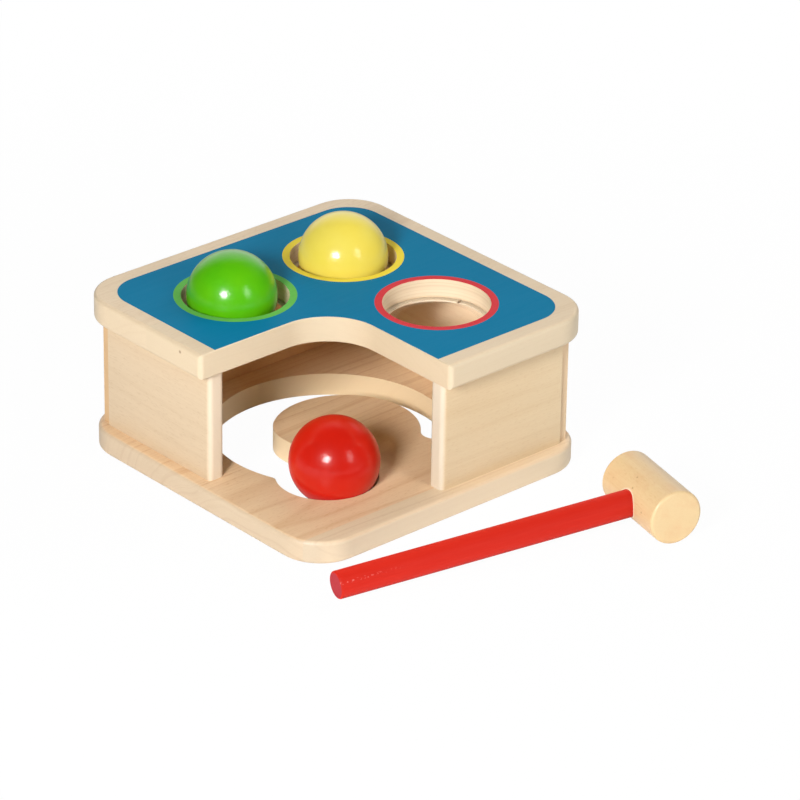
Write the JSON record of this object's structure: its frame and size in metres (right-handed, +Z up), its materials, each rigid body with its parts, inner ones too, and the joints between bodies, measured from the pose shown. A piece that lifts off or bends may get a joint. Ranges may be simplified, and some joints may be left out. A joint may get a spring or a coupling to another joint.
{
  "type": "pound-a-ball toy",
  "caption": "Square wooden toy whose balls are knocked through holes in its roof with a mallet and roll along a widening curved slot in its base to an open front corner.",
  "frame": {"origin": "middle of the base board's underside", "axes": "+Z up; -Y is the front left side and +X the front right side, so the open corner is at +X -Y"},
  "size_m": [0.2726, 0.1898, 0.1065],
  "materials": {
    "base_wood": "satin lacquer",
    "roof_wood": "satin lacquer, printed blue field and coloured rings on top",
    "front_wood": "satin lacquer",
    "back_wood": "satin lacquer",
    "dowel_wood": "plain",
    "hoop_wood": "plain",
    "head_wood": "satin lacquer",
    "green_paint": "gloss paint",
    "yellow_paint": "gloss paint",
    "red_paint": "gloss paint",
    "clear_soft": "clear and soft"
  },
  "bodies": {
    "toy": {"base_board": "base_wood", "roof_board": "roof_wood", "front_left_panel": "front_wood", "front_right_panel": "front_wood", "back_left_panel": "back_wood", "back_right_panel": "back_wood", "front_left_foot_dowels": "dowel_wood", "front_right_foot_dowels": "dowel_wood", "front_left_top_dowels": "dowel_wood", "front_right_top_dowels": "dowel_wood", "green_hole_washer": "clear_soft", "yellow_hole_washer": "clear_soft", "red_hole_washer": "clear_soft", "green_hole_hoop": "hoop_wood", "yellow_hole_hoop": "hoop_wood", "red_hole_hoop": "hoop_wood"},
    "green_ball": {"green_ball": "green_paint"},
    "yellow_ball": {"yellow_ball": "yellow_paint"},
    "red_ball": {"red_ball": "red_paint"},
    "mallet": {"mallet_head": "head_wood", "mallet_handle": "red_paint"}
  },
  "joints": [
    {"name": "green_ball_drop", "type": "slide", "parent": "toy", "child": "green_ball", "axis": [0, 0, 1], "range_m": [-0.0518, 0.06], "deforming": ["green_hole_washer"]},
    {"name": "yellow_ball_drop", "type": "slide", "parent": "toy", "child": "yellow_ball", "axis": [0, 0, 1], "range_m": [-0.0518, 0.06], "deforming": ["yellow_hole_washer"]},
    {"name": "red_ball_lift", "type": "slide", "parent": "toy", "child": "red_ball", "axis": [0, 0, 1], "range_m": [0, 0.12]},
    {"name": "mallet_lift", "type": "slide", "parent": "toy", "child": "mallet", "axis": [0, 0, 1], "range_m": [0, 0.12]}
  ]
}
